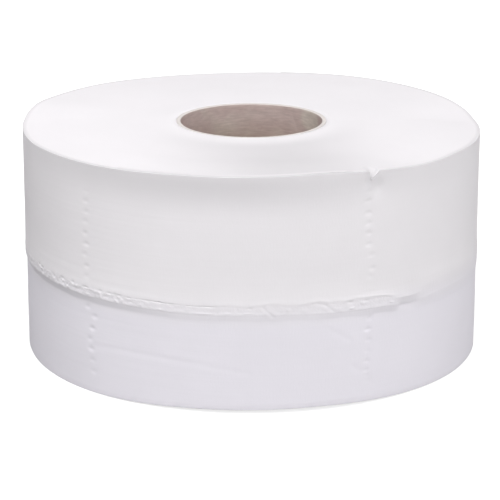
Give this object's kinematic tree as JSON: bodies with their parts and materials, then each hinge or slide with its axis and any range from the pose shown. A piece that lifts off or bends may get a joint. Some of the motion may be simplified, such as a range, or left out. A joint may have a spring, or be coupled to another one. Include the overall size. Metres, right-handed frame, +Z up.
{
  "type": "toilet paper roll",
  "caption": "Wide white toilet tissue roll of the mini jumbo kind, wound on an open cardboard tube, standing on its end.",
  "frame": {"origin": "centre of the roll's lower end, on the surface that it stands on", "axes": "+Z up along the roll's axis; -Y is the front, the side that the picture shows; +X is to the right in the picture"},
  "size_m": [0.19, 0.1898, 0.0945],
  "materials": {
    "tissue": "soft matt two-ply tissue, lightly crimped",
    "core_board": "raw recycled board, spiral wound"
  },
  "bodies": {
    "root": {"paper_roll": "tissue", "core_tube": "core_board"}
  },
  "joints": []
}
